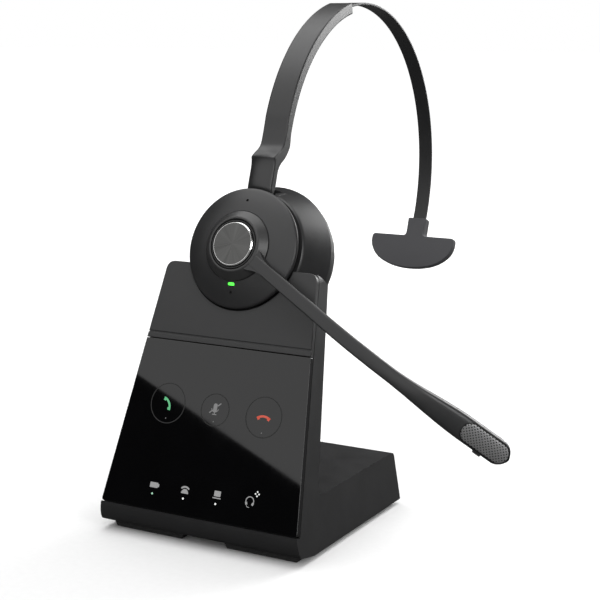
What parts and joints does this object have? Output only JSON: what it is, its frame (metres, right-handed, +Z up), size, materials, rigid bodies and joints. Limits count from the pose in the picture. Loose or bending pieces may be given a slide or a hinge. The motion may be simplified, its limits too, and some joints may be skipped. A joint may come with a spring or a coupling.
{
  "type": "office headset with charging base",
  "caption": "Mono wireless headset with a turning microphone boom and headband, resting in an upright charging base with a touch panel.",
  "frame": {"origin": "centre of the part's box, on the desk under it", "axes": "+Z up; the touch panel faces -Y and leans back; the boom points to +X; the headband reaches back over +Y"},
  "size_m": [0.174, 0.235, 0.2321],
  "materials": {
    "housing_black": "fine matte, dark charcoal",
    "socket_black": "plain black",
    "inner_plastic": "plain black",
    "plain_steel": "plain",
    "circuit_board": "green solder mask",
    "foot_rubber": "matte",
    "plate_grey": "matte, a little lighter than the housing",
    "gloss_black": "mirror gloss",
    "light_guide": "clear acrylic",
    "contact_gold": "gold plated",
    "shell_satin": "satin, with a slight sheen",
    "status_light": "lit green",
    "battery_foil": "foil wrap",
    "leatherette": "soft black leatherette",
    "key_plastic": "matte",
    "brushed_cap": "radially brushed, dark anodised",
    "grille_metal": "perforated, grey",
    "strip_steel": "satin black spring strip",
    "pad_plastic": "matte",
    "pad_rubber": "matte, soft"
  },
  "bodies": {
    "base": {"base_housing": "housing_black", "base_bottom_cover": "housing_black", "power_jack": "socket_black", "phone_port": "socket_black", "handset_port": "socket_black", "aux_port": "socket_black", "usb_port": "plain_steel", "main_board": "circuit_board", "ballast_plate": "plain_steel", "ringer_speaker": "inner_plastic", "base_screw_1": "plain_steel", "base_screw_2": "plain_steel", "base_screw_3": "plain_steel", "base_screw_4": "plain_steel", "foot_front_left": "foot_rubber", "foot_front_right": "foot_rubber", "foot_rear_left": "foot_rubber", "foot_rear_right": "foot_rubber", "faceplate": "plate_grey", "touch_panel": "gloss_black", "key_light_guide": "light_guide", "touch_board": "circuit_board", "antenna_board": "circuit_board", "cradle_cup": "inner_plastic", "charge_contact_left": "contact_gold", "charge_contact_right": "contact_gold"},
    "earcup": {"front_shell": "shell_satin", "rear_shell": "shell_satin", "hub_bushing": "inner_plastic", "talk_switch": "plain_steel", "status_light_pipe": "status_light", "headset_board": "circuit_board", "speaker_housing": "shell_satin", "battery": "battery_foil", "speaker_driver": "plain_steel", "speaker_baffle": "inner_plastic", "cushion_ring": "inner_plastic", "ear_cushion": "leatherette", "ball_socket": "inner_plastic", "cup_screw_1": "plain_steel", "cup_screw_2": "plain_steel", "cup_screw_3": "plain_steel", "charge_pad_left": "contact_gold", "charge_pad_right": "contact_gold"},
    "boom": {"boom_arm": "shell_satin", "boom_cover": "shell_satin", "boom_flex": "circuit_board", "mic_capsule": "plain_steel", "mic_grille": "grille_metal"},
    "mute_button": {"mute_button": "key_plastic"},
    "talk_button": {"talk_button": "brushed_cap"},
    "volume_up": {"volume_up_key": "key_plastic"},
    "volume_down": {"volume_down_key": "key_plastic"},
    "band_ball": {"stem_ball": "plain_steel"},
    "headband": {"headband_arm": "shell_satin", "headband_arm_cover": "shell_satin"},
    "slider": {"slider_strip": "strip_steel", "t_pad_frame": "pad_plastic", "t_pad_cushion": "pad_rubber"}
  },
  "joints": [
    {"name": "headset_lift", "type": "slide", "parent": "base", "child": "earcup", "axis": [0, 0.3502, 0.9367], "range_m": [0, 0.07]},
    {"name": "boom_turn", "type": "hinge", "parent": "earcup", "child": "boom", "pos_m": [-0.03574, -0.08295, 0.12743], "axis": [0, -0.9367, 0.3502], "range_deg": [-14.6, 255.4]},
    {"name": "mute_press", "type": "slide", "parent": "boom", "child": "mute_button", "axis": [0.506, 0.3021, 0.8079], "range_m": [0, 0.00025], "stiffness_N_per_m": 900, "springref_m": -0.0002},
    {"name": "talk_press", "type": "slide", "parent": "earcup", "child": "talk_button", "axis": [0, 0.9367, -0.3502], "range_m": [0, 0.0005], "stiffness_N_per_m": 900, "springref_m": -0.0003},
    {"name": "volume_up_press", "type": "slide", "parent": "earcup", "child": "volume_up", "axis": [0.848, -0.1856, -0.4964], "range_m": [0, 0.0004], "stiffness_N_per_m": 800, "springref_m": -0.0002},
    {"name": "volume_down_press", "type": "slide", "parent": "earcup", "child": "volume_down", "axis": [0.9848, -0.0608, -0.1627], "range_m": [0, 0.0004], "stiffness_N_per_m": 800, "springref_m": -0.0002},
    {"name": "headband_swivel", "type": "hinge", "parent": "earcup", "child": "band_ball", "pos_m": [-0.03574, -0.06307, 0.14349], "axis": [0, 0.3502, 0.9367], "range_deg": [-12, 12]},
    {"name": "headband_tilt", "type": "hinge", "parent": "band_ball", "child": "headband", "pos_m": [-0.03574, -0.06307, 0.14349], "axis": [1, 0, 0], "range_deg": [-5, 5]},
    {"name": "headband_extend", "type": "hinge", "parent": "headband", "child": "slider", "pos_m": [-0.03574, 0.03378, 0.14838], "axis": [-1, 0, 0], "range_deg": [-8, 16]}
  ]
}
